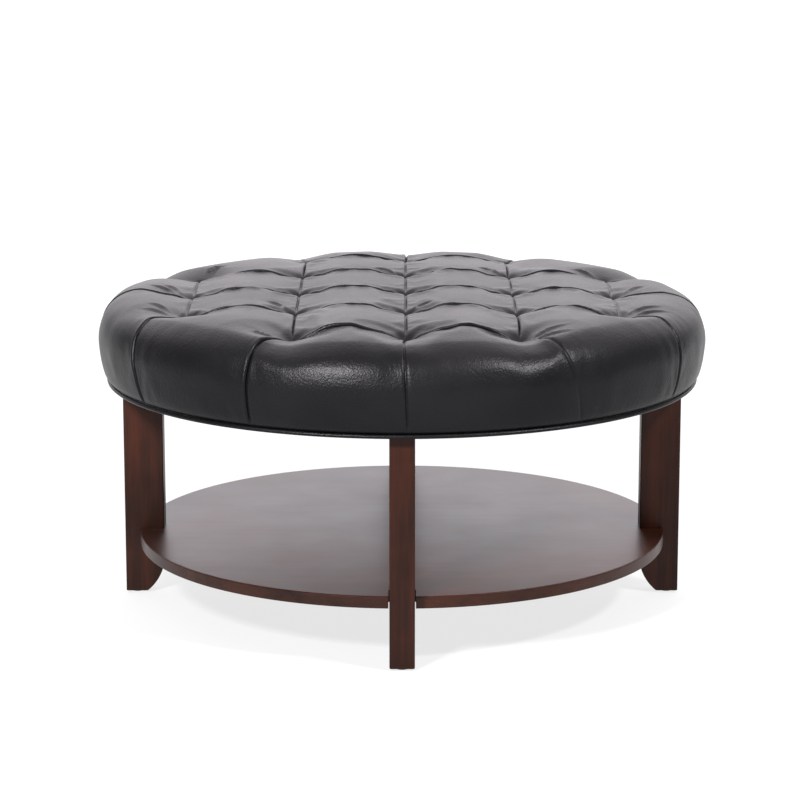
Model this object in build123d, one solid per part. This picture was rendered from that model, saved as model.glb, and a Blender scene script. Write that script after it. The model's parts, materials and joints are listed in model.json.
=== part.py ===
from build123d import *
import os
from math import atan2, degrees, hypot, sqrt

# Round tufted ottoman on four plank legs with a round lower shelf.
# Millimetres. The origin is on the floor under the middle of the seat, +Z is up,
# and the legs stand on the X and Y axes.

# Base
leg_length = 336
leg_setback = 32
leg_depth = 60
leg_width = 36
leg_edge_round = 2
foot_flat = 33
foot_curve_height = 52
foot_curve_bulge = 6
glide_radius = 10
glide_height = 2.5
glide_pin_radius = 1.5
glide_pin_length = 12
rail_width = 32
rail_depth = 45
tenon_width = 14
tenon_depth = 30
tenon_length = 28
shelf_setback = 23.5
shelf_thickness = 18
shelf_underside = 84
shelf_edge_chamfer = 1.2
shelf_notch_gap = 1.5

# Angle brackets that hold the shelf to the legs
bracket_width = 24
bracket_leg = 26
bracket_thickness = 2
bracket_screw_offset = 15
screw_radius = 2
screw_head_radius = 4
screw_head_height = 2
screw_length = 14
lap_screw_length = 36

# Bolts that hold the seat down on the rails
seat_bolt_radius = 3
seat_bolt_head_radius = 6
seat_bolt_head_height = 4
seat_bolt_place = 245
seat_bolt_end_gap = 2
counterbore_radius = 8
counterbore_depth = 10
seat_nut_radius = 5
seat_nut_length = 12

# Seat, with heights measured from the underside of its deck
deck_thickness = 18
core_height = 96
core_bevel = 64
core_side_height = 62
leather_thickness = 2
dust_cover_thickness = 0.8
dust_cover_inset = 10.2
hem_width = 46.2
seat_radius = 457
crown_height = 146
drum_rise = 20
shoulder_inset = 85
shoulder_height = 127
ridge_inset = 45
ridge_height = 118
brow_inset = 10
brow_height = 96
belly_height = 75
waist_inset = 3.5
waist_height = 32
skirt_inset = 10.5
skirt_height = 5.2
neck_inset = 15.8
welt_radius = 3

# Tufts, folds and pleats of the cover
tuft_spacing_share = 0.3567
tuft_depth = 26
fold_depth = 8
rim_rise = 25
pleat_depth = 9
pleat_foot_depth = 3
pleat_half_width = 17
pleat_reach = 30
tuft_channel_radius = 5.5
tuft_disc_radius = 5
tuft_disc_thickness = 2
twine_radius = 1.2
twine_hole_radius = 3
toggle_length = 12
toggle_width = 3
toggle_height = 1.2

# Staples
staple_wire = 1.2
staple_crown_length = 10
staple_leg_length = 6
cover_staple_count = 12
cover_staple_inset = 33
dust_staple_count = 8
dust_staple_inset = 17

# Clearances and overrun
fit_gap = 0.1
notch_gap = 0.2
soft_gap = 0.3
overrun = 30

leg_outer_radius = seat_radius - leg_setback
leg_inner_radius = leg_outer_radius - leg_depth
shelf_radius = leg_outer_radius - shelf_setback
base_top = glide_height + leg_length
deck_underside = base_top + dust_cover_thickness + leather_thickness
deck_top = deck_underside + deck_thickness
core_top = deck_underside + core_height
rail_underside = base_top - rail_depth
shelf_top = shelf_underside + shelf_thickness
tuft_spacing = seat_radius * tuft_spacing_share
shoulder_radius = seat_radius - shoulder_inset
ridge_radius = seat_radius - ridge_inset
brow_radius = seat_radius - brow_inset
waist_radius = seat_radius - waist_inset
skirt_radius = seat_radius - skirt_inset
neck_radius = seat_radius - neck_inset
hem_inner_radius = neck_radius - hem_width
dust_cover_radius = neck_radius - dust_cover_inset
cover_staple_radius = neck_radius - cover_staple_inset
dust_staple_radius = neck_radius - dust_staple_inset
crown_drop = crown_height - shoulder_height
crown_sphere_radius = (shoulder_radius**2 + crown_drop**2) / (2 * crown_drop)
deck_radius = neck_radius - leather_thickness - soft_gap

quarter_turns = (0, 90, 180, 270)
seam_angle = 80
leg_angles = {"right": 0, "back": 90, "left": 180, "front": 270}
tuft_rows = (-3, -2, -1, 0, 1, 2, 3)
tuft_steps = [(i, j) for i in range(-2, 3) for j in range(-2, 3) if abs(i) + abs(j) < 4]
tuft_places = [(i * tuft_spacing, j * tuft_spacing) for i, j in tuft_steps]
outer_tufts = [(i * tuft_spacing, j * tuft_spacing) for i, j in tuft_steps if 2 in (abs(i), abs(j))]


def turned(shape, angle):
    """The shape turned about the upright axis of the ottoman."""
    return Rot(0, 0, angle) * shape


def upright(radius, low, high, place=(0, 0)):
    """An upright round bar between two heights."""
    bar = Cylinder(radius, high - low, align=(Align.CENTER, Align.CENTER, Align.MIN))
    return Pos(place[0], place[1], low) * bar


def prism(radius, low, high, place=(0, 0), sides=6):
    """An upright bar with flat sides, for small hidden fittings and their holes."""
    return Pos(place[0], place[1], low) * extrude(RegularPolygon(radius, sides), high - low)


def block(low, high):
    """A box between two corners."""
    size = [b - a for a, b in zip(low, high)]
    return Pos(*low) * Box(*size, align=(Align.MIN, Align.MIN, Align.MIN))


def group(shapes):
    """Separate solids kept together under one name."""
    return Compound(children=list(shapes))


# Base

def leg():
    """Plank leg on +X with its inner foot corner cut back in a slow curve."""
    foot_inner = leg_outer_radius - foot_flat
    curve_top = Vector(leg_inner_radius, glide_height + foot_curve_height)
    curve_foot = Vector(foot_inner, glide_height)
    outwards = Vector(-foot_curve_height, leg_inner_radius - foot_inner).normalized()
    curve_middle = (curve_top + curve_foot) / 2 + outwards * foot_curve_bulge
    edge = ThreePointArc(curve_top, curve_middle, curve_foot)
    edge += Polyline(
        curve_foot,
        (leg_outer_radius, glide_height),
        (leg_outer_radius, base_top),
        (leg_inner_radius, base_top),
        curve_top,
    )
    plank = extrude(Plane.XZ * make_face(edge), leg_width / 2, both=True)
    plank = fillet(plank.edges().filter_by(Axis.Z).group_by(Axis.X)[-1], leg_edge_round)
    return plank - tenon(fit_gap) - glide_pin(fit_gap) - bracket_screws(fit_gap)


def tenon(gap=0):
    """Tenon of a rail, or its mortise in the leg."""
    middle = base_top - rail_depth / 2
    half_width = tenon_width / 2 + gap
    half_depth = tenon_depth / 2 + gap
    low = (leg_inner_radius - gap, -half_width, middle - half_depth)
    return block(low, (leg_inner_radius + tenon_length + gap, half_width, middle + half_depth))


def glide_pin(gap=0):
    """Nail of a glide, or its hole in the foot."""
    place = (leg_outer_radius - foot_flat / 2, 0)
    return prism(glide_pin_radius + gap, glide_height / 2, glide_height + glide_pin_length + gap, place)


def glide():
    """Round glide under a foot."""
    return prism(glide_radius, 0, glide_height, (leg_outer_radius - foot_flat / 2, 0), 16) + glide_pin()


def rail(lapped_from_top):
    """Cross rail along X with a tenon at each end, half lapped with the other rail."""
    low = (-leg_inner_radius, -rail_width / 2, rail_underside)
    bar = block(low, (leg_inner_radius, rail_width / 2, base_top))
    lap = rail_width / 2 + notch_gap
    lap_level = rail_underside + rail_depth / 2
    if lapped_from_top:
        bar -= block((-lap, -rail_width, lap_level), (lap, rail_width, base_top + overrun))
    else:
        bar -= block((-lap, -rail_width, rail_underside - overrun), (lap, rail_width, lap_level))
    for angle in (0, 180):
        place = (seat_bolt_place if angle == 0 else -seat_bolt_place, 0)
        bar += turned(tenon(), angle)
        bar -= prism(seat_bolt_radius + fit_gap, rail_underside, base_top, place)
        low = rail_underside - overrun
        bar -= prism(counterbore_radius, low, rail_underside + counterbore_depth, place, 12)
    return bar - lap_screw(fit_gap)


def lap_screw(gap=0):
    """Screw up through the crossing of the rails, or its hole."""
    low = rail_underside
    shank = prism(screw_radius + gap, low, low + lap_screw_length + gap, sides=8)
    return shank + prism(screw_head_radius + gap, low, low + screw_head_height + gap, sides=8)


def shelf():
    """Round board notched round the legs."""
    board = upright(shelf_radius, shelf_underside, shelf_top)
    board = chamfer(board.edges().filter_by(GeomType.CIRCLE), shelf_edge_chamfer)
    half = leg_width / 2 + shelf_notch_gap
    low = (leg_inner_radius, -half, shelf_underside - overrun)
    notch = block(low, (leg_outer_radius + overrun, half, shelf_top + overrun))
    cuts = [notch] + bracket_screws(fit_gap)
    return board - [turned(cut, angle) for angle in quarter_turns for cut in cuts]


def bracket():
    """Angle bracket under the shelf, against the inner face of the leg."""
    low = (leg_inner_radius - bracket_leg, -bracket_width / 2, shelf_underside - bracket_thickness)
    plate = block(low, (leg_inner_radius, bracket_width / 2, shelf_underside))
    low = (leg_inner_radius - bracket_thickness, -bracket_width / 2, shelf_underside - bracket_leg)
    plate += block(low, (leg_inner_radius, bracket_width / 2, shelf_underside))
    return plate - bracket_screws(fit_gap)


def bracket_screws(gap=0):
    """One screw up into the shelf and one outwards into the leg, or their holes."""
    shank = prism(screw_radius + gap, -bracket_thickness, screw_length + gap)
    screw = shank + prism(screw_head_radius, -bracket_thickness - screw_head_height, -bracket_thickness)
    into_shelf = Pos(leg_inner_radius - bracket_screw_offset, 0, shelf_underside) * screw
    into_leg = Pos(leg_inner_radius, 0, shelf_underside - bracket_screw_offset) * Rot(0, 90, 0) * screw
    return [into_shelf, into_leg]


# Bolts between the rails and the seat

def seat_bolt():
    """Bolt up through a rail into the nut in the deck."""
    place = (seat_bolt_place, 0)
    head_top = rail_underside + counterbore_depth
    shank_top = deck_top - seat_bolt_end_gap
    shank = prism(seat_bolt_radius, head_top, shank_top, place)
    return shank + prism(seat_bolt_head_radius, head_top - seat_bolt_head_height, head_top, place)


def seat_nut():
    """Round nut let into the deck."""
    place = (seat_bolt_place, 0)
    body = prism(seat_nut_radius, deck_top - seat_nut_length, deck_top, place, 12)
    return body - prism(seat_bolt_radius + fit_gap, deck_underside, deck_top, place)


# Shape of the seat

def crown_at(place, inset=0):
    """Height of the untufted crown over a place, brought in by the inset."""
    fall = crown_sphere_radius - sqrt(crown_sphere_radius**2 - place[0] ** 2 - place[1] ** 2)
    return deck_underside + crown_height - inset - fall


def crown_slope(distance):
    """Direction of the crown as it falls outwards, at a distance from the middle."""
    return (sqrt(crown_sphere_radius**2 - distance**2), -distance)


def drum():
    """Drum with a drawn-in side, a rolled shoulder and a blunt cone above it."""
    corner = ThreePointArc(
        (brow_radius, brow_height),
        ((brow_radius + 2 * seat_radius) / 3, (brow_height + belly_height) / 2),
        (seat_radius, belly_height),
    )
    outline = corner + Polyline(
        (seat_radius, belly_height),
        (waist_radius, waist_height),
        (skirt_radius, skirt_height),
        (0, skirt_height),
        (0, crown_height + drum_rise),
        (shoulder_radius, shoulder_height),
        (ridge_radius, ridge_height),
        (brow_radius, brow_height),
    )
    shape = revolve(Plane.XZ * make_face(outline), Axis.Z)
    return Pos(0, 0, deck_underside) * turned(shape, seam_angle)


def pillow_section(column):
    """Upright outline along one line of the tuft grid: an arc over each pillow or fold."""
    on_tufts = column == int(column)
    x = column * tuft_spacing
    low = deck_underside + skirt_height
    creases = []
    crests = []
    for row in tuft_rows:
        y = row * tuft_spacing
        creases.append((y, crown_at((x, y)) - crease_depth(column, row)))
    for row in tuft_rows[:-1]:
        y = (row + 0.5) * tuft_spacing
        crests.append((y, crown_at((x, y)) - crest_depth(column, row + 0.5)))
    line = Polyline(creases[-1], (creases[-1][0], low), (creases[0][0], low), creases[0])
    for start, crest, end in zip(creases, crests, creases[1:]):
        line += ThreePointArc(start, crest, end)
    across = Plane(origin=(x, 0, 0), x_dir=(0, 1, 0), z_dir=(1, 0, 0))
    return across * make_face(line)


def crease_depth(column, row):
    """How far the cover lies below the crown where a row of tufts crosses the section."""
    if max(abs(column), abs(row)) > 2:
        return -rim_rise
    if (column, row) in tuft_steps:
        return tuft_depth
    return fold_depth


def crest_depth(column, row):
    """How far the cover lies below the crown halfway between two rows of tufts."""
    if max(abs(column), abs(row)) > 2.5:
        return -rim_rise
    if column == int(column):
        return fold_depth
    return 0


def pillows():
    """Field of pillows between the tufts, one strip for each gap between two columns."""
    strips = []
    for column in tuft_rows[:3]:
        stations = (column, column + 0.5, column + 1)
        strip = loft([pillow_section(station) for station in stations], ruled=True)
        strips += [strip, turned(strip, 180)]
    return strips


def pleat(place):
    """Groove from an outer tuft over the shoulder and down the side."""
    start = hypot(*place)
    slanting = pleat_depth * sqrt(0.5)
    start_point = (start, crown_at((start, 0)) - pleat_depth)
    shoulder_point = (shoulder_radius, deck_underside + shoulder_height - pleat_depth)
    brow_point = (brow_radius - slanting, deck_underside + brow_height - slanting)
    belly_point = (seat_radius - pleat_depth, deck_underside + belly_height)
    skirt_point = (skirt_radius - pleat_foot_depth, deck_underside + skirt_height)
    crown = TangentArc(start_point, shoulder_point, tangent=crown_slope(start))
    shoulder = TangentArc(shoulder_point, brow_point, tangent=crown % 1)
    brow = TangentArc(brow_point, belly_point, tangent=shoulder % 1)
    side = TangentArc(belly_point, skirt_point, tangent=brow % 1)
    tail = Line(side @ 1, (side @ 1) + (side % 1) * overrun)
    path = Plane.XZ * (crown + shoulder + brow + side + tail)
    rim = (pleat_half_width, pleat_reach), (-pleat_half_width, pleat_reach)
    wedge = make_face(Polyline((0, 0), *rim, (0, 0)))
    start_plane = Plane(origin=path @ 0, x_dir=(0, 1, 0), z_dir=path % 0)
    groove = sweep(start_plane * wedge, path=path)
    return turned(groove, degrees(atan2(place[1], place[0])))


def tufted_form():
    """The whole tufted and pleated outer shape of the seat."""
    outer = drum()
    quarters = [outer & strip for strip in pillows()]
    form = quarters[0] + quarters[1:]
    return form - [pleat(place) for place in outer_tufts]


def core_form(gap=0):
    """Foam core and deck as one plain shape, grown by a gap."""
    outline = Polyline(
        (0, 0),
        (deck_radius + gap, 0),
        (deck_radius + gap, core_side_height),
        (deck_radius - core_bevel + gap, core_height + gap),
        (0, core_height + gap),
        (0, 0),
    )
    core = Pos(0, 0, deck_underside) * revolve(Plane.XZ * make_face(outline), Axis.Z)
    return turned(core, seam_angle)


# Pieces of the seat

def seat_deck():
    """Plywood deck with holes for the twines and the seat nuts."""
    deck = upright(deck_radius, deck_underside, deck_top)
    low = deck_underside - overrun
    high = deck_top + overrun
    deck -= [prism(twine_hole_radius, low, high, place, 4) for place in tuft_places]
    nut = prism(seat_nut_radius + fit_gap, low, high, (seat_bolt_place, 0), 12)
    return deck - [turned(nut, angle) for angle in quarter_turns]


def foam_core():
    """Foam block with a channel for each tuft."""
    core = core_form() - upright(deck_radius + overrun, deck_underside - overrun, deck_top)
    low = deck_underside
    high = deck_underside + crown_height
    return core - [prism(tuft_channel_radius, low, high, place) for place in tuft_places]


def tufted_cover():
    """Leather over its quilted fibre, closed round the side and turned under the deck."""
    hem_low = deck_underside - leather_thickness
    cover = tufted_form() + upright(neck_radius, hem_low, deck_underside + skirt_height)
    cover -= core_form(soft_gap)
    return cover - upright(hem_inner_radius, hem_low - overrun, deck_underside)


def welt_cord():
    """Piping round the foot of the seat."""
    middle = (neck_radius + soft_gap + welt_radius, deck_underside - leather_thickness + welt_radius)
    section = Pos(*middle) * RegularPolygon(welt_radius, 6)
    return turned(revolve(Plane.XZ * section, Axis.Z), seam_angle)


def dust_cover():
    """Cloth under the seat, with a hole for each seat bolt."""
    low = base_top
    cloth = upright(dust_cover_radius, low, low + dust_cover_thickness)
    hole = prism(seat_bolt_radius + fit_gap, low - overrun, low + overrun, (seat_bolt_place, 0))
    return cloth - [turned(hole, angle) for angle in quarter_turns]


def tuft_disc(place):
    """Flat disc in a channel, on the inner side of the cover, with the twine tied to it."""
    return prism(tuft_disc_radius, core_top - tuft_disc_thickness, core_top, place)


def tuft_twine(place):
    """Twine from a tuft disc down to the toggle under the deck."""
    return prism(twine_radius, deck_underside, core_top - tuft_disc_thickness, place, 4)


def twine_toggle(place):
    """Short bar under the deck that a twine is tied to."""
    half_length = toggle_length / 2
    half_width = toggle_width / 2
    low = (-half_length, -half_width, deck_underside - toggle_height)
    return Pos(place[0], place[1], 0) * block(low, (half_length, half_width, deck_underside))


def staple(radius, crown_low, angle):
    """Staple driven up into the deck, lying along the rim."""
    half = staple_crown_length / 2
    crown = block((-staple_wire / 2, -half, 0), (staple_wire / 2, half, staple_wire))
    prong = block((-staple_wire / 2, half - staple_wire, 0), (staple_wire / 2, half, staple_leg_length))
    shape = crown + prong + turned(prong, 180)
    return turned(Pos(radius, 0, crown_low) * shape, angle)


def staples(count, radius, crown_low):
    """Ring of staples, clear of the legs."""
    step = 360 / count
    return group(staple(radius, crown_low, (n + 0.5) * step) for n in range(count))


def all_parts():
    """Every piece of the ottoman under its name."""
    parts = {}
    for name, angle in leg_angles.items():
        parts["leg_" + name] = turned(leg(), angle)
        parts["glide_" + name] = turned(glide(), angle)
        parts["shelf_bracket_" + name] = turned(bracket(), angle)
    screws = bracket_screws()
    parts["rail_left_right"] = rail(lapped_from_top=True)
    parts["rail_front_back"] = turned(rail(lapped_from_top=False), 90)
    parts["rail_screw"] = lap_screw()
    parts["shelf"] = shelf()
    parts["bracket_screws"] = group(turned(screw, angle) for angle in quarter_turns for screw in screws)
    parts["seat_bolts"] = group(turned(seat_bolt(), angle) for angle in quarter_turns)
    parts["seat_nuts"] = group(turned(seat_nut(), angle) for angle in quarter_turns)
    parts["seat_deck"] = seat_deck()
    parts["foam_core"] = foam_core()
    parts["tufted_cover"] = tufted_cover()
    parts["welt_cord"] = welt_cord()
    parts["dust_cover"] = dust_cover()
    parts["tuft_discs"] = group(tuft_disc(place) for place in tuft_places)
    parts["tuft_twines"] = group(tuft_twine(place) for place in tuft_places)
    parts["twine_toggles"] = group(twine_toggle(place) for place in tuft_places)
    hem_low = deck_underside - leather_thickness
    parts["cover_staples"] = staples(cover_staple_count, cover_staple_radius, hem_low)
    dust_low = base_top - staple_wire
    parts["dust_cover_staples"] = staples(dust_staple_count, dust_staple_radius, dust_low)
    return parts


os.makedirs("parts", exist_ok=True)
for name, shape in all_parts().items():
    export_step(shape, f"parts/{name}.step")
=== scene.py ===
import json
from collections import namedtuple
from math import atan2, cos, pi, radians, sin

import bmesh
import bpy
import numpy as np
from mathutils import Matrix, Vector


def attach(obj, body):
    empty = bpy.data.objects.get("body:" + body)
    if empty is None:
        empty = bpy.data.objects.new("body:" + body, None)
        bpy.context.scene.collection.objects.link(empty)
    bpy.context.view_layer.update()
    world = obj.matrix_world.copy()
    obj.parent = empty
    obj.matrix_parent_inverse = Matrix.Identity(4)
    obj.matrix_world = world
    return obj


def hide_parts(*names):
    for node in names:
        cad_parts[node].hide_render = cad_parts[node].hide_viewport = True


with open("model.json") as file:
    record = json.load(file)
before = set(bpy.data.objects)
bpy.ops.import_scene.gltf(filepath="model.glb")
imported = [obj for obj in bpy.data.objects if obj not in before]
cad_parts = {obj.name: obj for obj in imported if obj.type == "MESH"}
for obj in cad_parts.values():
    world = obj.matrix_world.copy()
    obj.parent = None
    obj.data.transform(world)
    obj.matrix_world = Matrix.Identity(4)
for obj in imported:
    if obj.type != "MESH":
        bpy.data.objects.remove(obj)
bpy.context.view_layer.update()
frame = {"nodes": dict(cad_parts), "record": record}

# Round tufted leather ottoman on four plank legs with a round lower shelf. Metres.

# Base
leg_inner = 0.365
leg_outer = 0.425
leg_half_width = 0.018
leg_foot = 0.0025
leg_top = 0.3385
foot_flat = 0.033
foot_curve_height = 0.052
foot_curve_bulge = 0.006
foot_curve_steps = 12
shelf_radius = 0.4015
shelf_low = 0.084
shelf_top = 0.102
shelf_sides = 256
notch_gap = 0.0015
notch_cutter = 0.1
wood_edge = 0.0018
edge_steps = 3
sharp_angle = 0.6
tiny = 1e-6

# Piping round the foot of the seat
welt_radius = 0.003
welt_ring = 0.4445
welt_middle = 0.3423
welt_sides = 12
welt_steps = 240

# Seat, with its outline as radius and height above the underside of the deck
deck_underside = 0.3413
seat_outline = (
    (0, 0.1385),
    (0.120, 0.1375),
    (0.220, 0.1354),
    (0.300, 0.1327),
    (0.350, 0.1303),
    (0.388, 0.1272),
    (0.418, 0.1207),
    (0.438, 0.1100),
    (0.450, 0.0960),
    (0.4565, 0.078),
    (0.4585, 0.064),
    (0.4580, 0.050),
    (0.4562, 0.033),
    (0.4525, 0.0165),
    (0.4475, 0.0075),
    (0.4432, 0.005),
    (0.4412, 0.0025),
    (0.4402, -0.0005),
    (0.436, -0.002),
    (0.416, -0.002),
    (0.396, -0.002),
)
outline_steps = 19

# The filling stands higher towards the front and on the left shoulder
front_lift = 0.009
front_lift_place = -0.325
front_lift_width = 0.16
left_lift = 0.006
left_lift_place = (-0.41, -0.02)
left_lift_widths = (0.05, 0.15)
# The lifts set in above this height, and the one at the front only within this radius
lift_foot = 0.02
lift_foot_fade = 0.03
lift_rim = 0.456
lift_rim_fade = 0.04

# Tufts, from the front row to the back and from left to right
tuft_columns = (-0.318, -0.156, 0.005, 0.167, 0.319)
tuft_rows = (-0.326, -0.163, 0, 0.163, 0.326)
tuft_depths = (0.0270, 0.0200, 0.0180, 0.0175, 0.0135)
tuft_pit_depth = 0.0045
tuft_pit_reach = 0.011
tuft_steps = [(i, j) for i in range(-2, 3) for j in range(-2, 3) if abs(i) + abs(j) < 4]

# Tufts that a fold along a row starts from; with the two steps swapped, a fold between two rows
fold_steps = [(i, j) for j in range(-2, 3) for i in range(-2, 2) if abs(i + 0.5) + abs(j) < 3]

# Valleys round folds and pleats: how far they reach beside them, how steeply their sides rise
# and how quickly they get shallow away from the tufts
valley_blend = 9
end_reach = 0.05
row_fold_depth = 0.0015
row_back_reach = 0.05
row_front_reach = 0.075
corner_row_front_reach = 0.085
front_row_front_reach = 0.115
row_rise = 1.25
row_arch = 1.6
front_row_arch = 1.15
column_fold_share = 0.55
column_reach = 0.075
column_rise = 1.5
column_arch = 0.8
pleat_foot_depth = 0.0008
pleat_shallow_share = 0.27
rear_pleat_shallow_share = 0.6
pleat_fade = 1.1
pleat_reach = 0.06
front_pleat_reach = 0.085
pleat_rise = 1.25

# Creases: the groove, its widths on the upper and the lower side, the upper side's overlap and
# how much lower the lower side lies
Crease = namedtuple("Crease", "groove upper lower lip step")
front_row_crease = Crease(groove=0.007, upper=0.0018, lower=0.003, lip=0.0035, step=0.0045)
row_crease = Crease(groove=0.0042, upper=0.0018, lower=0.0022, lip=0.0035, step=0.0005)
column_crease = Crease(groove=0.005, upper=0.0018, lower=0.0026, lip=0.0014, step=0.001)
pleat_crease = Crease(groove=0.007, upper=0.0022, lower=0.0032, lip=0.003, step=0.0012)
groove_power = 1.4
step_reach = 0.028
lip_reach = 0.003
bead_place = 0.0038
bead_width = 0.0024
bead_share = 0.45
arch_end_share = 0.12
broad_end_share = 0.1
pleat_foot_loss_share = 0.45
comma_ridge = 0.0024
comma_ridge_width = 0.0026
comma_hollow = 0.0016
comma_hollow_place = 0.006
comma_hollow_width = 0.005

# Cloth of the puffing and how far it may swell
panel_steps = 20
leather_slack = 0.03
leather_mass = 0.25
leather_stretch = 12
leather_shear = 4
leather_bend = 0.4
filling_pressure = 3.0
puffing_quality = 8
puffing_frames = 20
small_step = 0.001
top_puff_limit = 0.0024
side_puff_limit = 0.0008
side_start = 0.30
side_fade = 0.10
held_width = 0.001
weld_distance = 0.0002
hem_reach = 0.055
hem_fade = 0.012

# Pleats, which run from these tufts to the foot of the seat
outer_ring = (
    (2, 0), (2, 1), (1, 2), (0, 2), (-1, 2), (-2, 1),
    (-2, 0), (-2, -1), (-1, -2), (0, -2), (1, -2), (2, -1),
)
# Sideways lean of each pleat at its foot, in degrees
pleat_leans = (0, -2, 2, 0, -1, 3, 0, 8.3, -2.3, 0.3, 8, -3)
# Sideways bow of each pleat as a share of its length
pleat_bow_shares = (0, 0.02, -0.02, 0, 0.03, -0.02, 0, 0.02, 0.055, 0.02, 0, -0.03)
# How deep each pleat is folded
pleat_shares = (0.7, 0.8, 0.8, 0.8, 0.8, 0.9, 1.0, 1.2, 1.1, 0.7, 0.25, 0.4)
# Which side of each pleat lies on top, seen from outside: 1 left, -1 right
pleat_sides = (1, 1, 1, 1, 1, 1, -1, -1, -1, -1, 1, 1)
pleat_bow_power = 0.7
pleat_links = 8

# Short comma-shaped creases beside the tufts, on the flat leather, upper side to their left
commas = (
    ((-0.376, -0.106), (-0.362, -0.112), (-0.350, -0.124), (-0.338, -0.145)),
    ((-0.382, -0.136), (-0.366, -0.141), (-0.352, -0.150), (-0.340, -0.161)),
    ((-0.364, 0.058), (-0.352, 0.048), (-0.343, 0.034), (-0.334, 0.010)),
    ((-0.384, 0.044), (-0.366, 0.034), (-0.353, 0.022), (-0.343, 0.004)),
    ((-0.214, -0.330), (-0.202, -0.333), (-0.190, -0.339), (-0.174, -0.345)),
    ((-0.044, 0.192), (-0.030, 0.190), (-0.020, 0.182), (-0.010, 0.168)),
    ((-0.198, -0.108), (-0.186, -0.114), (-0.177, -0.126), (-0.170, -0.144)),
    ((-0.304, 0.184), (-0.303, 0.202), (-0.298, 0.218), (-0.284, 0.236)),
    ((0.178, -0.336), (0.190, -0.322), (0.208, -0.309), (0.236, -0.300)),
    ((0.184, -0.354), (0.198, -0.344), (0.216, -0.336), (0.242, -0.330)),
    ((0.334, -0.146), (0.344, -0.132), (0.358, -0.122), (0.382, -0.116)),
    ((0.340, -0.164), (0.354, -0.152), (0.370, -0.145), (0.392, -0.142)),
    ((0.122, 0.206), (0.134, 0.202), (0.144, 0.192), (0.154, 0.172)),
    ((0.338, 0.012), (0.346, 0.030), (0.356, 0.044), (0.370, 0.054)),
    ((0.270, 0.198), (0.284, 0.196), (0.296, 0.188), (0.306, 0.174)),
    ((0.016, -0.148), (0.022, -0.134), (0.032, -0.124), (0.044, -0.118)),
)

# Colours
leather_dark = (0.0038, 0.0036, 0.0043, 1)
leather_light = (0.0066, 0.0063, 0.0073, 1)
leather_gloss_tint = (0.98, 0.95, 1, 1)
leg_dark = (0.0135, 0.0034, 0.0015, 1)
leg_light = (0.049, 0.0108, 0.0040, 1)
shelf_dark = (0.009, 0.0023, 0.0010, 1)
shelf_light = (0.036, 0.0086, 0.0035, 1)
plywood_dark = (0.42, 0.29, 0.17, 1)
plywood_light = (0.60, 0.45, 0.29, 1)
foam_dark = (0.70, 0.64, 0.44, 1)
foam_light = (0.80, 0.75, 0.56, 1)
dust_cloth_dark = (0.010, 0.010, 0.011, 1)
dust_cloth_light = (0.022, 0.022, 0.023, 1)
twine_dark = (0.42, 0.38, 0.30, 1)
twine_light = (0.60, 0.56, 0.47, 1)
hard_plastic_dark = (0.05, 0.05, 0.055, 1)
hard_plastic_light = (0.08, 0.08, 0.085, 1)
glide_dark = (0.02, 0.018, 0.016, 1)
glide_light = (0.035, 0.03, 0.028, 1)
zinc_dark = (0.50, 0.51, 0.52, 1)
zinc_light = (0.66, 0.67, 0.68, 1)

# Floor, lights and camera
floor_half_width = 30
floor_shade = 0.12
floor_glow = 0.96
floor_near_glow_share = 0.80
floor_near = 1
floor_far = 3
sky_height = radians(45)
sky_colour = (1, 0.958, 1.005, 1)
sky_facing = (0.5, 1)
sky_strengths = (0.14, 3.1)
light_target = (0, 0, 0.4)
key_place = (-1.35, -2.6, 2.05)
key_size = (0.5, 0.45)
key_power = 190
fill_place = (2.7, -1.9, 3.3)
fill_size = (0.6, 0.45)
fill_power = 220
camera_lens = 131.55
camera_film = 36
camera_place = (-0.00305, -4.3689, 1.2322)
camera_pitch = radians(77.95)


# Helpers for meshes and objects

def mesh_from(name, shape):
    """A mesh from a shape that is then given up."""
    mesh = bpy.data.meshes.new(name)
    shape.to_mesh(mesh)
    shape.free()
    return mesh


def in_scene(name, data):
    """A new object of the scene."""
    item = bpy.data.objects.new(name, data)
    bpy.context.scene.collection.objects.link(item)
    return item


def new_piece(name, shape, material):
    """A finished piece of the ottoman from its mesh shape."""
    piece = in_scene(name, mesh_from(name, shape))
    piece.data.materials.append(material)
    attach(piece, "root")
    return piece


def smooth(piece):
    for face in piece.data.polygons:
        face.use_smooth = True


def apply_all(piece):
    """Applies the modifiers of a piece."""
    bpy.ops.object.select_all(action="DESELECT")
    piece.select_set(True)
    bpy.context.view_layer.objects.active = piece
    for modifier in list(piece.modifiers):
        bpy.ops.object.modifier_apply(modifier=modifier.name)


def get_places(mesh):
    places = np.empty(len(mesh.vertices) * 3)
    mesh.vertices.foreach_get("co", places)
    return places.reshape(-1, 3)


def set_places(mesh, places):
    mesh.vertices.foreach_set("co", places.ravel())
    mesh.update()


# Shader maths

class Value:
    """A socket of a node tree that takes part in sums."""

    def __init__(self, nodes, socket):
        self.nodes = nodes
        self.socket = socket

    def sum(self, operation, other):
        return self.nodes.add("ShaderNodeMath", {"operation": operation}, {0: self, 1: other})

    def __add__(self, other):
        return self.sum("ADD", other)

    __radd__ = __add__

    def __mul__(self, other):
        return self.sum("MULTIPLY", other)

    __rmul__ = __mul__

    def __sub__(self, other):
        return self.sum("SUBTRACT", other)

    def __rsub__(self, other):
        return self * -1 + other


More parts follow.
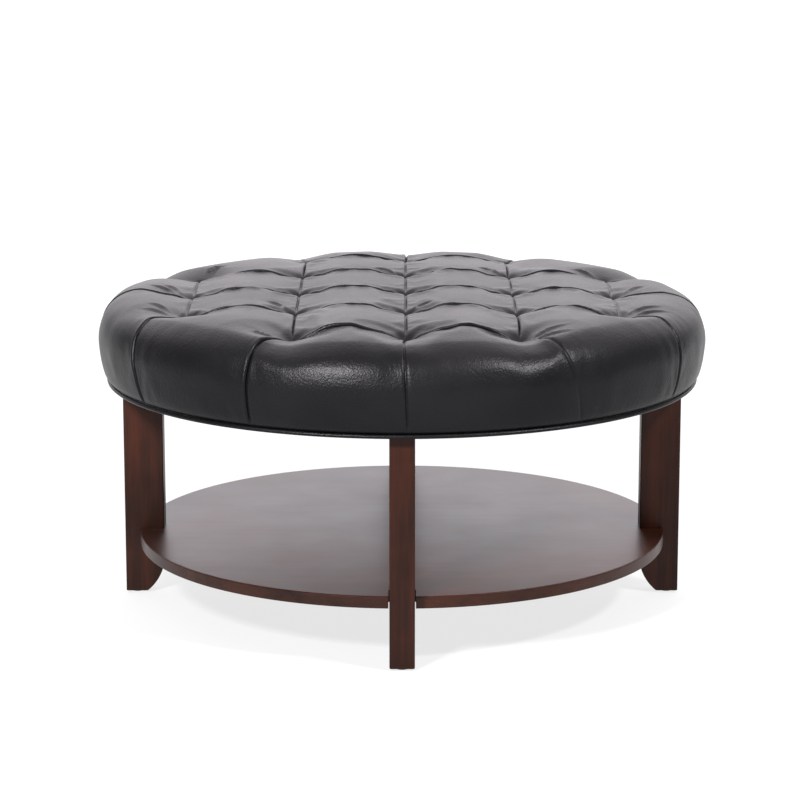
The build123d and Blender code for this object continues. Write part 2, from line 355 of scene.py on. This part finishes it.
class Nodes:
    """A node tree under construction."""

    def __init__(self, tree):
        self.tree = tree

    def add(self, kind, settings=None, inputs=None, output=0):
        """One more node, with its settings and the values or links of its sockets."""
        node = self.tree.nodes.new(kind)
        for key, value in (settings or {}).items():
            setattr(node, key, value)
        for key, value in (inputs or {}).items():
            self.join(node.inputs[key], value)
        return Value(self, node.outputs[output])

    def join(self, socket, value):
        if isinstance(value, Value):
            self.tree.links.new(value.socket, socket)
        else:
            socket.default_value = value

    def blend(self, amount, low, high):
        """Colour between two colours, which are inputs 6 and 7 and output 2 of a mix node."""
        return self.add("ShaderNodeMix", {"data_type": "RGBA"}, {0: amount, 6: low, 7: high}, output=2)

    def spread(self, value, low, high, to_low=0, to_high=1):
        """A value mapped from one range to another, clamped."""
        inputs = {"Value": value, "From Min": low, "From Max": high, "To Min": to_low, "To Max": to_high}
        return self.add("ShaderNodeMapRange", inputs=inputs)


class Finish(Nodes):
    """A material under construction."""

    def __init__(self, name):
        self.material = bpy.data.materials.new(name)
        self.material.use_nodes = True
        super().__init__(self.material.node_tree)
        self.shader = self.tree.nodes["Principled BSDF"]

    def set(self, **inputs):
        """Values or links of the shader, named by its sockets."""
        for key, value in inputs.items():
            self.join(self.shader.inputs[key.replace("_", " ")], value)

    def place(self, scale=(1, 1, 1)):
        """Object coordinates, stretched."""
        coordinates = self.add("ShaderNodeTexCoord", output="Object")
        return self.add("ShaderNodeMapping", inputs={"Vector": coordinates, "Scale": scale})

    def height(self):
        """Height above the origin."""
        coordinates = self.add("ShaderNodeTexCoord", output="Object")
        return self.add("ShaderNodeSeparateXYZ", inputs={"Vector": coordinates}, output="Z")

    def noise(self, scale, detail=3, roughness=0.5, at=None, distortion=0):
        inputs = {"Vector": at or self.place(), "Scale": scale, "Detail": detail,
                  "Roughness": roughness, "Distortion": distortion}
        return self.add("ShaderNodeTexNoise", inputs=inputs)

    def cells(self, scale):
        inputs = {"Vector": self.place(), "Scale": scale}
        return self.add("ShaderNodeTexVoronoi", {"feature": "F1"}, inputs, output="Distance")

    def bump(self, height, distance, strength):
        inputs = {"Height": height, "Distance": distance, "Strength": strength}
        self.set(Normal=self.add("ShaderNodeBump", inputs=inputs, output="Normal"))


def grey(level):
    return (level, level, level, 1)


def leather_finish():
    """Black leather with a crinkled pebble grain and a soft gloss."""
    finish = Finish("black_leather")
    pebbles = finish.cells(scale=330)
    crinkles = finish.noise(scale=150, detail=4, roughness=0.6, distortion=0.8)
    pores = finish.noise(scale=900, detail=2)
    wear = finish.noise(scale=7, detail=4)
    patches = finish.spread(wear, 0.35, 0.7)
    grain = pebbles * 0.3 + crinkles * 0.8 + pores * 0.1
    finish.bump(grain, distance=0.0011, strength=0.5)
    roughness = finish.spread(wear, 0.3, 0.7, 0.33, 0.41) + crinkles * 0.06 - 0.03
    finish.set(Base_Color=finish.blend(patches, leather_dark, leather_light), Roughness=roughness)
    finish.set(Specular_IOR_Level=0.13, Specular_Tint=leather_gloss_tint)
    return finish.material


def wood_finish(name, stretch, dark, light, rough=0.4, coat=0.06, painted_foot_shade=0):
    """Dark stained wood under a satin lacquer, with its grain along one axis and painted shade that
    darkens it towards the foot.
    """
    finish = Finish(name)
    at = finish.place(stretch)
    streaks = finish.noise(scale=1, detail=5, roughness=0.62, at=at, distortion=0.25)
    fine = finish.noise(scale=4.5, detail=3, roughness=0.6, at=at)
    cloud = finish.noise(scale=9)
    tone = finish.spread(streaks * 0.55 + fine * 0.2 + cloud * 0.45, 0.42, 0.78)
    # Painted shade: the colour darkens from the top of the leg down to its foot
    tone = tone - finish.spread(finish.height(), 0, leg_top, painted_foot_shade, 0)
    finish.bump(fine + streaks, distance=0.00012, strength=0.35)
    roughness = finish.spread(cloud, 0.3, 0.7, rough - 0.03, rough + 0.05)
    finish.set(Base_Color=finish.blend(tone, dark, light), Roughness=roughness, Specular_IOR_Level=0.15)
    finish.set(Coat_Weight=finish.spread(cloud, 0.2, 0.8, coat - 0.05, coat + 0.05), Coat_Roughness=0.27)
    return finish.material


def plain_finish(name, dark, light, scale, roughness, metal=0.0):
    """Small or hidden material with a fine mottle."""
    finish = Finish(name)
    mottle = finish.noise(scale, detail=4, roughness=0.6)
    finish.bump(mottle, distance=0.0002, strength=0.5)
    finish.set(Base_Color=finish.blend(mottle, dark, light))
    finish.set(Roughness=finish.spread(mottle, 0.3, 0.7, roughness - 0.06, roughness + 0.06))
    finish.set(Metallic=metal)
    return finish.material


# Outline of the seat

def outline_table():
    """Smooth outline of the seat by its length: length, radius, height and outward slope."""
    points = [Vector(point) for point in seat_outline]
    points = [Vector((-points[1].x, points[1].y))] + points + [2 * points[-1] - points[-2]]
    rows = []
    for before, start, end, after in zip(points, points[1:], points[2:], points[3:]):
        for n in range(outline_steps):
            t = n / outline_steps
            place = 0.5 * (2 * start
                           + (end - before) * t
                           + (2 * before - 5 * start + 4 * end - after) * t**2
                           + (3 * start - before - 3 * end + after) * t**3)
            rows.append(place)
    rows.append(points[-2])
    radius = np.array([place.x for place in rows])
    height = np.array([place.y for place in rows])
    length = np.concatenate(([0], np.cumsum(np.hypot(np.diff(radius), np.diff(height)))))
    return length, radius, height, -np.gradient(height, length), np.gradient(radius, length)


lengths, radii, heights, normal_r, normal_z = outline_table()
leather_radius = lengths[-1]


# Flat leather: tufts, folds and pleats

def tuft(i, j):
    """Place of a tuft by its steps from the middle one."""
    return Vector((tuft_columns[i + 2], tuft_rows[j + 2]))


def depth_at(place):
    """How far the tufts are sunk at the place of a row."""
    return float(np.interp(place.y, tuft_rows, tuft_depths))


def pleat_foot(n):
    start = tuft(*outer_ring[n])
    angle = atan2(start.y, start.x) + radians(pleat_leans[n])
    return Vector((cos(angle), sin(angle))) * leather_radius


def pleat_place(n, t):
    """Place on the leather along a pleat, bowed sideways over the shoulder."""
    start = tuft(*outer_ring[n])
    run = pleat_foot(n) - start
    away = Vector((run.y, -run.x)) * pleat_bow_shares[n] * sin(pi * t ** pleat_bow_power)
    return start + run * t + away


def pleat_way(n):
    """Points along a pleat."""
    return [pleat_place(n, k / pleat_links) for k in range(pleat_links + 1)]


# Edges of the panels, as places on the leather by the share along them

def fold_edge(start, end):
    """Fold between two tufts."""
    return lambda t: start.lerp(end, t)


def pleat_edge(n):
    return lambda t: pleat_place(n, t)


def foot_edge(n, m):
    """Foot of the cover between two pleats."""
    start = pleat_foot(n)
    end = pleat_foot(m)
    first = atan2(start.y, start.x)
    sweep = (atan2(end.y, end.x) - first) % (2 * pi)

    def at(t):
        angle = first + sweep * t
        return Vector((cos(angle), sin(angle))) * leather_radius
    return at


def joined_edges(first, second):
    def at(t):
        return first(2 * t) if t < 0.5 else second(2 * t - 1)
    return at


def panel(cloth, low, high, left, right):
    """One flat leather panel between four edges, with finer faces along them."""
    made = bmesh.ops.create_grid(cloth, x_segments=panel_steps, y_segments=panel_steps, size=1)
    corners = (low(0), low(1), high(0), high(1))
    for vert in made["verts"]:
        u, v = [0.5 + 0.25 * (side + sin(side * pi / 2)) for side in vert.co.xy]
        along = low(u) * (1 - v) + high(u) * v + left(v) * (1 - u) + right(v) * u
        twist = corners[0] * (1 - u) * (1 - v) + corners[1] * u * (1 - v)
        twist += corners[2] * (1 - u) * v + corners[3] * u * v
        vert.co = (along - twist).to_3d()


def flat_cover():
    """All panels of the cover on the flat leather."""
    cloth = bmesh.new()
    for i in range(-2, 2):
        for j in range(-2, 2):
            if abs(i + 0.5) + abs(j + 0.5) < 3:
                low = fold_edge(tuft(i, j), tuft(i + 1, j))
                high = fold_edge(tuft(i, j + 1), tuft(i + 1, j + 1))
                left = fold_edge(tuft(i, j), tuft(i, j + 1))
                right = fold_edge(tuft(i + 1, j), tuft(i + 1, j + 1))
                panel(cloth, low, high, left, right)
    for n, here in enumerate(outer_ring):
        m = (n + 1) % len(outer_ring)
        there = outer_ring[m]
        if here[0] == there[0] or here[1] == there[1]:
            inner = fold_edge(tuft(*here), tuft(*there))
        else:
            corner = tuft(*[min(steps, key=abs) for steps in zip(here, there)])
            inner = joined_edges(fold_edge(tuft(*here), corner), fold_edge(corner, tuft(*there)))
        panel(cloth, inner, foot_edge(n, m), pleat_edge(n), pleat_edge(m))
    bmesh.ops.remove_doubles(cloth, verts=cloth.verts, dist=weld_distance)
    bmesh.ops.recalc_face_normals(cloth, faces=cloth.faces)
    return cloth


# Flat leather laid over the seat

def laid_over(flat, depth, shift=0):
    """Points of the flat leather laid over the seat, shifted sideways and sunk by their depths."""
    flat = flat + shift
    reach = np.hypot(flat[:, 0], flat[:, 1])
    way = flat / np.maximum(reach, 1e-9)[:, None]
    radius = np.interp(reach, lengths, radii) - depth * np.interp(reach, lengths, normal_r)
    height = np.interp(reach, lengths, heights) - depth * np.interp(reach, lengths, normal_z)
    fullness = np.exp(-((way[:, 1] * radius - front_lift_place) / front_lift_width) ** 2)
    above_foot = np.clip((height - lift_foot) / lift_foot_fade, 0, 1)
    within_rim = np.clip((lift_rim - radius) / lift_rim_fade, 0, 1)
    height += front_lift * fullness * above_foot * within_rim
    beside = (way * radius[:, None] - left_lift_place) / left_lift_widths
    height += left_lift * np.exp(-np.sum(beside ** 2, axis=1)) * above_foot
    return np.column_stack((way * radius[:, None], deck_underside + height))


def nearest_on(flat, start, end):
    """Signed distance of points from a line, left of it positive, the share along it, its left side
    and how far each point lies beside it rather than past its ends."""
    start = np.array(start)
    run = np.array(end) - start
    share = np.clip((flat - start) @ run / (run @ run), 0, 1)
    away = flat - start - share[:, None] * run
    left = np.array((-run[1], run[0])) / np.hypot(*run)
    side = np.sign(away @ left)
    distance = np.hypot(away[:, 0], away[:, 1])
    beside = (away @ left / np.maximum(distance, 1e-9)) ** 2
    return distance * np.where(side == 0, 1, side), share, left, beside


def nearest_along(flat, way):
    """The same from a line of several links."""
    found = None
    for k, (start, end) in enumerate(zip(way, way[1:])):
        distance, share, left, beside = nearest_on(flat, start, end)
        share = (k + share) / (len(way) - 1)
        left = np.broadcast_to(left, flat.shape)
        if found:
            closer = np.abs(distance) < np.abs(found[0])
            distance = np.where(closer, distance, found[0])
            share = np.where(closer, share, found[1])
            left = np.where(closer[:, None], left, found[2])
            beside = np.where(closer, beside, found[3])
        found = distance, share, left, beside
    return found


def sunk(flat):
    """Depth of the valleys round the folds, pleats and tufts below the outline of the seat."""
    total = np.zeros(len(flat))

    def valley(way, depths, left_reach, right_reach, rise):
        distance, share, _, beside = nearest_along(flat, way)
        reach = np.where(distance > 0, left_reach, right_reach)
        reach = end_reach + (reach - end_reach) * beside
        near = np.clip(1 - np.abs(distance) / reach, 0, 1)
        np.add(total, (depths(share) * near ** rise) ** valley_blend, out=total)

    def fold_depths(start, end, middle, power):
        first, last = depth_at(start), depth_at(end)

        def depths(share):
            deepest = first + (last - first) * share
            lowest = middle(deepest)
            return deepest - (deepest - lowest) * np.sin(pi * share) ** power
        return depths

    for i, j in fold_steps:
        front_reach, arch = row_front_reach, row_arch
        if j == -2:
            front_reach, arch = front_row_front_reach, front_row_arch
        elif j == -1 and i in (-2, 1):
            front_reach = corner_row_front_reach
        way = tuft(i, j), tuft(i + 1, j)
        depths = fold_depths(*way, lambda deepest: row_fold_depth, arch)
        valley(way, depths, row_back_reach, front_reach, row_rise)
        way = tuft(j, i), tuft(j, i + 1)
        depths = fold_depths(*way, lambda deepest: column_fold_share * deepest, column_arch)
        valley(way, depths, column_reach, column_reach, column_rise)
    for n, steps in enumerate(outer_ring):
        first = depth_at(tuft(*steps))
        shallow = rear_pleat_shallow_share if steps[1] > 0 else pleat_shallow_share
        reach = front_pleat_reach if steps[1] < 0 else pleat_reach

        def depths(share):
            return pleat_foot_depth + first * np.clip(1 - share / shallow, 0, 1) ** pleat_fade
        valley(pleat_way(n), depths, reach, reach, pleat_rise)
    return total ** (1 / valley_blend)


def creases(flat):
    """Extra depth and sideways shift that the folds and pleats give to points of the leather."""
    depth = np.zeros(len(flat))
    raised = np.zeros(len(flat))
    shift = np.zeros_like(flat)

    def crease(way, form, profile, side=1, share_folded=1):
        nonlocal depth, shift, raised
        distance, share, left, _ = nearest_along(flat, way)
        distance = distance * side
        left = left * side
        on_top = distance > 0
        width = np.where(on_top, form.upper, form.lower)
        strength = profile(share)
        groove = form.groove * share_folded * strength
        lip = form.lip * share_folded * strength
        step = form.step * share_folded * strength
        depth = np.maximum(depth, groove * np.exp(-(np.abs(distance) / width) ** groove_power))
        depth = np.maximum(depth, np.where(on_top, 0, step * np.exp(-np.abs(distance) / step_reach)))
        rise = np.where(on_top, distance / lip_reach, 0)
        shift -= (lip * rise * np.exp(1 - rise))[:, None] * left
        bead = np.where(on_top, np.exp(-((distance - bead_place) / bead_width) ** 2), 0)
        raised = np.maximum(raised, bead_share * lip * bead)

    def arch(share):
        """Strongest in the middle."""
        return arch_end_share + (1 - arch_end_share) * np.sin(pi * share) ** 1.5

    def broad(share):
        """Strong all along, weak beside the tufts."""
        return broad_end_share + (1 - broad_end_share) * (1 - np.cos(pi * share) ** 4)

    def rounded(share):
        """Strong all along, blunt at both ends."""
        return np.sin(pi * (0.03 + 0.94 * share)) ** 0.8

    def fade(share):
        """Weaker towards the foot of the seat."""
        return 1 - pleat_foot_loss_share * share

    for i, j in fold_steps:
        if j == -2:
            crease((tuft(i, j), tuft(i + 1, j)), front_row_crease, arch)
        else:
            crease((tuft(i, j), tuft(i + 1, j)), row_crease, broad)
        crease((tuft(j, i), tuft(j, i + 1)), column_crease, arch)
    for n, share_folded in enumerate(pleat_shares):
        crease(pleat_way(n), pleat_crease, fade, pleat_sides[n], share_folded)
    for way in commas:
        distance, share, _, _ = nearest_along(flat, way)
        strength = rounded(share)
        ridge = comma_ridge * strength * np.exp(-(distance / comma_ridge_width) ** 2)
        below = (distance + comma_hollow_place) / comma_hollow_width
        raised = np.maximum(raised, ridge)
        depth = np.maximum(depth, comma_hollow * strength * np.exp(-below ** 2))
    for steps in tuft_steps:
        reach = np.hypot(*(flat - np.array(tuft(*steps))).T)
        depth = np.maximum(depth, tuft_pit_depth * np.exp(-(reach / tuft_pit_reach) ** 2))
    return depth - raised, shift


def crease_distance(flat):
    """Distance of points of the leather from the nearest fold or pleat."""
    ways = [pleat_way(n) for n in range(len(outer_ring))]
    for i, j in fold_steps:
        ways += [(tuft(i, j), tuft(i + 1, j)), (tuft(j, i), tuft(j, i + 1))]
    return np.min([np.abs(nearest_along(flat, way)[0]) for way in ways], axis=0)


def puffed(flat, faces):
    """How far the filling presses the panels out against their folds."""
    depth = sunk(flat)
    mesh = bpy.data.meshes.new("puffing")
    mesh.from_pydata(laid_over(flat, depth).tolist(), [], faces)
    piece = in_scene("puffing", mesh)
    held = piece.vertex_groups.new(name="held")
    rim = np.hypot(flat[:, 0], flat[:, 1]) > leather_radius - hem_reach - hem_fade
    fixed = (crease_distance(flat) < held_width) | rim
    held.add([int(index) for index in np.flatnonzero(fixed)], 1.0, "REPLACE")
    cloth = piece.modifiers.new("cloth", "CLOTH")
    cloth.settings.quality = puffing_quality
    cloth.settings.mass = leather_mass
    cloth.settings.tension_stiffness = leather_stretch
    cloth.settings.compression_stiffness = leather_stretch
    cloth.settings.shear_stiffness = leather_shear
    cloth.settings.bending_stiffness = leather_bend
    cloth.settings.shrink_min = -leather_slack
    cloth.settings.use_pressure = True
    cloth.settings.uniform_pressure_force = filling_pressure
    cloth.settings.effector_weights.gravity = 0
    cloth.settings.vertex_group_mass = "held"
    cloth.collision_settings.use_collision = False
    cloth.point_cache.frame_end = puffing_frames
    for frame_number in range(1, puffing_frames + 1):
        bpy.context.scene.frame_set(frame_number)
    solved = piece.evaluated_get(bpy.context.evaluated_depsgraph_get())
    moved = get_places(solved.data) - laid_over(flat, depth)
    bpy.context.scene.frame_set(1)
    bpy.data.objects.remove(piece)
    outward = (laid_over(flat, depth - small_step) - laid_over(flat, depth)) / small_step
    rise = np.sum(moved * outward, axis=1)
    on_side = np.clip((np.hypot(flat[:, 0], flat[:, 1]) - side_start) / side_fade, 0, 1)
    limit = top_puff_limit + (side_puff_limit - top_puff_limit) * on_side
    return limit * np.tanh(rise / limit)


def tufted_cover(material):
    """The leather cover: panels puffed up, laid over the seat, folded and creased."""
    piece = new_piece("leather_cover", flat_cover(), material)
    mesh = piece.data
    pattern = get_places(mesh)
    faces = [tuple(face.vertices) for face in mesh.polygons]
    pattern[:, 2] = puffed(pattern[:, :2], faces)
    set_places(mesh, pattern)
    subdivision = piece.modifiers.new("smooth", "SUBSURF")
    subdivision.levels = subdivision.render_levels = 2
    apply_all(piece)
    mesh = piece.data
    pattern = get_places(mesh)
    flat = pattern[:, :2]
    depth, shift = creases(flat)
    above_hem = leather_radius - hem_reach - np.hypot(flat[:, 0], flat[:, 1])
    kept = np.clip(above_hem / hem_fade, 0, 1)
    depth = (depth + sunk(flat) - pattern[:, 2]) * kept
    set_places(mesh, laid_over(flat, depth, shift * kept[:, None]))
    smooth(piece)
    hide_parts("tufted_cover")


# Other pieces

def welt(material):
    """Round cord closed in a ring under the foot of the cover."""
    shape = bmesh.new()
    circle = bmesh.ops.create_circle(shape, segments=welt_sides, radius=welt_radius)
    turn = Matrix.Translation((welt_ring, 0, welt_middle)) @ Matrix.Rotation(pi / 2, 4, "X")
    bmesh.ops.transform(shape, matrix=turn, verts=circle["verts"])
    bmesh.ops.spin(shape, geom=shape.verts[:] + shape.edges[:], cent=(0, 0, 0), axis=(0, 0, 1),
                   angle=2 * pi, steps=welt_steps, use_merge=True)
    bmesh.ops.remove_doubles(shape, verts=shape.verts, dist=tiny)
    bmesh.ops.recalc_face_normals(shape, faces=shape.faces)
    piece = new_piece("welt", shape, material)
    smooth(piece)
    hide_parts("welt_cord")


def leg_profile():
    """Corners of a leg's side, with its inner foot corner cut back in a slow curve."""
    top = Vector((leg_inner, 0, leg_foot + foot_curve_height))
    low = Vector((leg_outer - foot_flat, 0, leg_foot))
    run = low - top
    away = Vector((run.z, 0, -run.x)).normalized()
    corners = [Vector((leg_outer, 0, leg_foot)), Vector((leg_outer, 0, leg_top))]
    corners.append(Vector((leg_inner, 0, leg_top)))
    for n in range(foot_curve_steps + 1):
        t = n / foot_curve_steps
        corners.append(top + run * t + away * foot_curve_bulge * 4 * t * (1 - t))
    return corners


def leg(name, angle, material):
    """Plank leg with eased edges."""
    shape = bmesh.new()
    verts = [bmesh.ops.create_vert(shape, co=corner)["vert"][0] for corner in leg_profile()]
    face = bmesh.ops.contextual_create(shape, geom=verts)["faces"][0]
    bmesh.ops.translate(shape, verts=shape.verts, vec=(0, leg_half_width, 0))
    made = bmesh.ops.extrude_face_region(shape, geom=[face])
    moved = [item for item in made["geom"] if isinstance(item, bmesh.types.BMVert)]
    bmesh.ops.translate(shape, verts=moved, vec=(0, -2 * leg_half_width, 0))
    bmesh.ops.recalc_face_normals(shape, faces=shape.faces)
    eased = [edge for edge in shape.edges
             if abs(edge.verts[0].co.y - edge.verts[1].co.y) < tiny
             or edge.calc_face_angle(0) > sharp_angle]
    bmesh.ops.bevel(shape, geom=eased, offset=wood_edge, segments=edge_steps, profile=0.5,
                    affect="EDGES", material=-1, clamp_overlap=True)
    turn = Matrix.Rotation(angle, 3, "Z")
    bmesh.ops.rotate(shape, verts=shape.verts, cent=(0, 0, 0), matrix=turn)
    piece = new_piece(name, shape, material)
    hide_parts(name.replace("plank", "leg"))


def notch_tool(angle):
    """Block that cuts the notch round one leg."""
    shape = bmesh.new()
    width = 2 * (leg_half_width + notch_gap)
    turn = Matrix.Rotation(angle, 3, "Z")
    bmesh.ops.create_cube(shape, size=1)
    bmesh.ops.scale(shape, verts=shape.verts, vec=(notch_cutter, width, notch_cutter))
    bmesh.ops.translate(shape, verts=shape.verts, vec=(leg_inner + notch_cutter / 2, 0, shelf_top))
    bmesh.ops.rotate(shape, verts=shape.verts, cent=(0, 0, 0), matrix=turn)
    return in_scene("notch", mesh_from("notch", shape))


def shelf(material):
    """Round shelf with notches round the legs."""
    shape = bmesh.new()
    bmesh.ops.create_cone(shape, cap_ends=True, segments=shelf_sides, radius1=shelf_radius,
                          radius2=shelf_radius, depth=shelf_top - shelf_low)
    bmesh.ops.translate(shape, verts=shape.verts, vec=(0, 0, (shelf_top + shelf_low) / 2))
    rims = [edge for edge in shape.edges if abs(edge.verts[0].co.z - edge.verts[1].co.z) < tiny]
    bmesh.ops.bevel(shape, geom=rims, offset=wood_edge, segments=edge_steps, profile=0.5,
                    affect="EDGES", material=-1)
    piece = new_piece("round_shelf", shape, material)
    for n in range(4):
        tool = notch_tool(n * pi / 2)
        cut = piece.modifiers.new("notch", "BOOLEAN")
        cut.object = tool
        cut.operation = "DIFFERENCE"
        apply_all(piece)
        bpy.data.objects.remove(tool)
    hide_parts("shelf")


def dress_cad_pieces(finishes):
    """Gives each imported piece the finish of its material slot."""
    slots = {part["node"]: part["material_slot"] for part in frame["record"]["subparts"]}
    for name, node in frame["nodes"].items():
        if slots.get(name) in finishes:
            node.data.materials.clear()
            node.data.materials.append(finishes[slots[name]])


# Studio

def pale_floor():
    """Floor that glows a little more away from the ottoman."""
    shape = bmesh.new()
    bmesh.ops.create_grid(shape, x_segments=1, y_segments=1, size=floor_half_width)
    floor = in_scene("floor", mesh_from("floor", shape))
    finish = Finish("pale_floor")
    inputs = {0: finish.place()}
    distance = finish.add("ShaderNodeVectorMath", {"operation": "LENGTH"}, inputs, output="Value")
    far = finish.spread(distance, floor_near, floor_far)
    glow = finish.blend(far, grey(floor_near_glow_share), grey(1))
    finish.set(Base_Color=grey(floor_shade), Roughness=0.9)
    finish.set(Emission_Color=glow, Emission_Strength=floor_glow)
    floor.data.materials.append(finish.material)


def sky():
    """Soft light from above and behind, dim elsewhere."""
    world = bpy.data.worlds.new("studio")
    bpy.context.scene.world = world
    world.use_nodes = True
    nodes = Nodes(world.node_tree)
    background = nodes.tree.nodes["Background"]
    direction = nodes.add("ShaderNodeTexCoord", output="Generated")
    inputs = {0: direction, 1: (0, cos(sky_height), sin(sky_height))}
    facing = nodes.add("ShaderNodeVectorMath", {"operation": "DOT_PRODUCT"}, inputs, output="Value")
    nodes.join(background.inputs["Color"], sky_colour)
    nodes.join(background.inputs["Strength"], nodes.spread(facing, *sky_facing, *sky_strengths))


def soft_light(name, place, size, power):
    """Lamp that points at the ottoman."""
    lamp = bpy.data.lights.new(name, "AREA")
    lamp.shape = "RECTANGLE"
    lamp.size, lamp.size_y = size
    lamp.energy = power
    light = in_scene(name, lamp)
    light.location = place
    towards = Vector(light_target) - Vector(place)
    light.rotation_euler = towards.to_track_quat("-Z", "Y").to_euler()


def camera():
    """Camera at the height and angle of the photograph."""
    lens = bpy.data.cameras.new("camera")
    lens.lens = camera_lens
    lens.sensor_width = camera_film
    view = in_scene("camera", lens)
    view.location = camera_place
    view.rotation_euler = (camera_pitch, 0, 0)
    bpy.context.scene.camera = view
    bpy.context.scene.view_settings.view_transform = "Standard"


leather = leather_finish()
# The legs' wood carries painted shade that darkens it towards the foot
leg_wood = wood_finish("leg_wood", (70, 70, 3), leg_dark, leg_light, painted_foot_shade=0.5)
shelf_wood = wood_finish("shelf_wood", (3, 70, 70), shelf_dark, shelf_light, coat=0.205)
dress_cad_pieces({
    "dark_wood": leg_wood,
    "plywood": wood_finish("plywood", (4, 60, 60), plywood_dark, plywood_light, rough=0.6, coat=0.05),
    "foam": plain_finish("foam", foam_dark, foam_light, 800, 0.9),
    "dust_cloth": plain_finish("dust_cloth", dust_cloth_dark, dust_cloth_light, 1800, 0.85),
    "twine": plain_finish("twine", twine_dark, twine_light, 3000, 0.8),
    "hard_plastic": plain_finish("hard_plastic", hard_plastic_dark, hard_plastic_light, 900, 0.5),
    "glide_plastic": plain_finish("glide_plastic", glide_dark, glide_light, 900, 0.5),
    "zinc_steel": plain_finish("zinc_steel", zinc_dark, zinc_light, 300, 0.38, metal=1.0),
})

tufted_cover(leather)
welt(leather)
for name, angle in {"right": 0, "back": pi / 2, "left": pi, "front": -pi / 2}.items():
    leg("plank_" + name, angle, leg_wood)
shelf(shelf_wood)

pale_floor()
sky()
soft_light("key", key_place, key_size, key_power)
soft_light("fill", fill_place, fill_size, fill_power)
camera()
